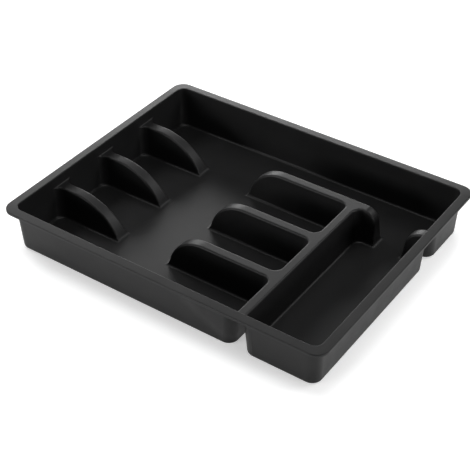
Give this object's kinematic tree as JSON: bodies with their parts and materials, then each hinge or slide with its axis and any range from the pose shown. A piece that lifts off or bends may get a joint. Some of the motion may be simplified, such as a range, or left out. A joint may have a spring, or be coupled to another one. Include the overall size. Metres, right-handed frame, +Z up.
{
  "type": "cutlery drawer organizer",
  "caption": "Rectangular moulded plastic drawer tray with a flat rim, cutlery bays parted by curved hollow dividers, a long utensil bay at the back and a cross bay for teaspoons.",
  "frame": {"origin": "centre of the tray in plan, on the plane of its underside, which rests on the drawer's bottom", "axes": "+X along the length to the right, from the end where the curved stubs meet the wall to the teaspoon compartment; +Y across the width, from the spoon compartment to the long utensil compartment; +Z up"},
  "size_m": [0.38, 0.302, 0.05],
  "materials": {
    "black_plastic": "satin black, very fine moulded grain"
  },
  "bodies": {
    "root": {"rim_front": "black_plastic", "rim_back": "black_plastic", "rim_left": "black_plastic", "rim_right": "black_plastic", "divider_transverse": "black_plastic", "stub_left_spoon_fork": "black_plastic", "stub_left_fork_knife": "black_plastic", "stub_left_knife_utensil": "black_plastic", "stub_right_spoon_fork": "black_plastic", "stub_right_fork_knife": "black_plastic", "stub_right_knife_utensil": "black_plastic", "stub_teaspoon_end": "black_plastic", "stub_right_wall": "black_plastic", "wall_front": "black_plastic", "wall_front_teaspoon": "black_plastic", "wall_back": "black_plastic", "wall_left": "black_plastic", "wall_right_teaspoon": "black_plastic", "wall_right_utensil": "black_plastic", "floor_main": "black_plastic", "floor_utensil": "black_plastic", "floor_teaspoon": "black_plastic"}
  },
  "joints": []
}
